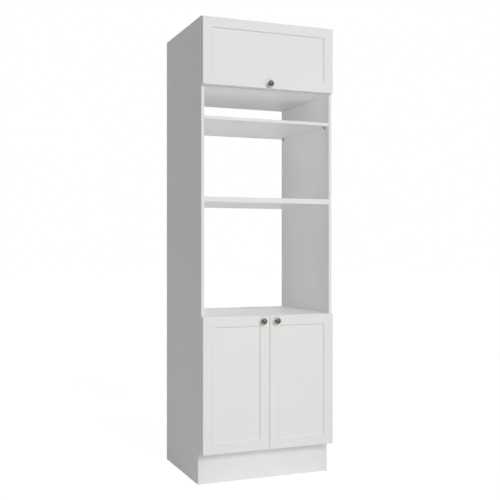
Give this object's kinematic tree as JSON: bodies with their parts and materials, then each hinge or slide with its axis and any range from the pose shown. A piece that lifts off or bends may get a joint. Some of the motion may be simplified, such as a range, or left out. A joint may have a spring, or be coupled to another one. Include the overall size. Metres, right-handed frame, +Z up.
{
  "type": "tall oven cabinet",
  "caption": "Tall white kitchen cabinet with open niches for a built-in oven and microwave, a loose shelf, a lift-up flap on gas struts and a base cupboard with framed doors.",
  "frame": {"origin": "on the floor, under the middle of the whole outline, knobs included", "axes": "+X to the right seen from the front, +Y to the back, +Z up"},
  "size_m": [0.7, 0.631, 2.267],
  "materials": {
    "white_carcass": "white melamine-faced board, fine satin",
    "white_door": "white foil-wrapped fibreboard, satin",
    "white_back": "white lacquered thin fibreboard",
    "antique_brass": "dark antique brass, softly polished",
    "clear_bumper": "clear soft bumper",
    "beech": "plain beech",
    "zinc": "cast zinc, matt",
    "strut_grey": "grey enamel",
    "polished_rod": "ground and polished",
    "plated_steel": "nickel plated"
  },
  "bodies": {
    "carcass": {"side_panel_left": "white_carcass", "side_panel_right": "white_carcass", "base_bottom": "white_carcass", "oven_niche_floor": "white_carcass", "oven_shelf": "white_carcass", "flap_compartment_floor": "white_carcass", "top_panel": "white_carcass", "plinth_board": "white_carcass", "rear_plinth_rail": "white_carcass", "wall_rail": "white_carcass", "base_back_panel": "white_back", "upper_back_panel": "white_back", "back_panel_screws": "plated_steel", "upper_shelf": "white_carcass", "base_inner_shelf": "white_carcass", "upper_shelf_supports": "zinc", "inner_shelf_supports": "zinc", "cam_housings": "zinc", "cam_bolts": "plated_steel", "dowels": "beech", "left_hinge_arms": "plated_steel", "right_hinge_arms": "plated_steel", "flap_hinge_arms": "plated_steel", "hinge_mounting_plates": "plated_steel", "hinge_arm_pins": "plated_steel", "hinge_arm_screws": "plated_steel", "hinge_plate_screws": "plated_steel", "strut_wall_brackets": "plated_steel", "strut_wall_screws": "plated_steel"},
    "left_hinge_links": {"left_hinge_links": "plated_steel"},
    "left_door": {"left_door": "white_door", "left_hinge_cups": "plated_steel", "left_hinge_cup_screws": "plated_steel", "left_hinge_cup_pins": "plated_steel", "left_knob": "antique_brass", "left_knob_screw": "plated_steel", "left_bumpers": "clear_bumper"},
    "right_hinge_links": {"right_hinge_links": "plated_steel"},
    "right_door": {"right_door": "white_door", "right_hinge_cups": "plated_steel", "right_hinge_cup_screws": "plated_steel", "right_hinge_cup_pins": "plated_steel", "right_knob": "antique_brass", "right_knob_screw": "plated_steel", "right_bumpers": "clear_bumper"},
    "flap_hinge_links": {"flap_hinge_links": "plated_steel"},
    "flap": {"flap_door": "white_door", "flap_hinge_cups": "plated_steel", "flap_hinge_cup_screws": "plated_steel", "flap_hinge_cup_pins": "plated_steel", "flap_knob": "antique_brass", "flap_knob_screw": "plated_steel", "flap_bumpers": "clear_bumper", "strut_flap_brackets": "plated_steel", "strut_flap_screws": "plated_steel"},
    "strut_cylinder_left": {"strut_cylinder_left": "strut_grey"},
    "strut_rod_left": {"strut_rod_left": "polished_rod"},
    "strut_cylinder_right": {"strut_cylinder_right": "strut_grey"},
    "strut_rod_right": {"strut_rod_right": "polished_rod"}
  },
  "joints": [
    {"name": "left_link_hinge", "type": "hinge", "parent": "carcass", "child": "left_hinge_links", "pos_m": [-0.318, -0.2615, 0.408], "axis": [0, 0, -1], "range_deg": [-40.5, 0]},
    {"name": "left_door_hinge", "type": "hinge", "parent": "left_hinge_links", "child": "left_door", "pos_m": [-0.339, -0.279, 0.408], "axis": [0, 0, -1], "range_deg": [0, 140]},
    {"name": "right_link_hinge", "type": "hinge", "parent": "carcass", "child": "right_hinge_links", "pos_m": [0.318, -0.2615, 0.408], "axis": [0, 0, 1], "range_deg": [-40.5, 0]},
    {"name": "right_door_hinge", "type": "hinge", "parent": "right_hinge_links", "child": "right_door", "pos_m": [0.339, -0.279, 0.408], "axis": [0, 0, 1], "range_deg": [0, 140]},
    {"name": "flap_link_hinge", "type": "hinge", "parent": "carcass", "child": "flap_hinge_links", "pos_m": [0, -0.2615, 2.232], "axis": [-1, 0, 0], "range_deg": [-36.5, 0]},
    {"name": "flap_hinge", "type": "hinge", "parent": "flap_hinge_links", "child": "flap", "pos_m": [0, -0.279, 2.253], "axis": [-1, 0, 0], "range_deg": [0, 126]},
    {"name": "strut_cylinder_left_pivot", "type": "hinge", "parent": "carcass", "child": "strut_cylinder_left", "pos_m": [-0.32, -0.1055, 2.226], "axis": [-1, 0, 0], "range_deg": [0, 39.78]},
    {"name": "strut_rod_left_pivot", "type": "hinge", "parent": "flap", "child": "strut_rod_left", "pos_m": [-0.32, -0.2585, 2.095], "axis": [-1, 0, 0], "range_deg": [-51.22, 0]},
    {"name": "strut_cylinder_right_pivot", "type": "hinge", "parent": "carcass", "child": "strut_cylinder_right", "pos_m": [0.32, -0.1055, 2.226], "axis": [-1, 0, 0], "range_deg": [0, 39.78]},
    {"name": "strut_rod_right_pivot", "type": "hinge", "parent": "flap", "child": "strut_rod_right", "pos_m": [0.32, -0.2585, 2.095], "axis": [-1, 0, 0], "range_deg": [-51.22, 0]}
  ],
  "couplings": [
    {"joint": "left_link_hinge", "follows": "left_door_hinge", "ratio": -0.28571},
    {"joint": "right_link_hinge", "follows": "right_door_hinge", "ratio": -0.28571},
    {"joint": "flap_link_hinge", "follows": "flap_hinge", "ratio": -0.28571},
    {"joint": "strut_cylinder_left_pivot", "follows": "flap_hinge", "ratio": 0.31175},
    {"joint": "strut_rod_left_pivot", "follows": "flap_hinge", "ratio": -0.40253},
    {"joint": "strut_cylinder_right_pivot", "follows": "flap_hinge", "ratio": 0.31175},
    {"joint": "strut_rod_right_pivot", "follows": "flap_hinge", "ratio": -0.40253}
  ]
}
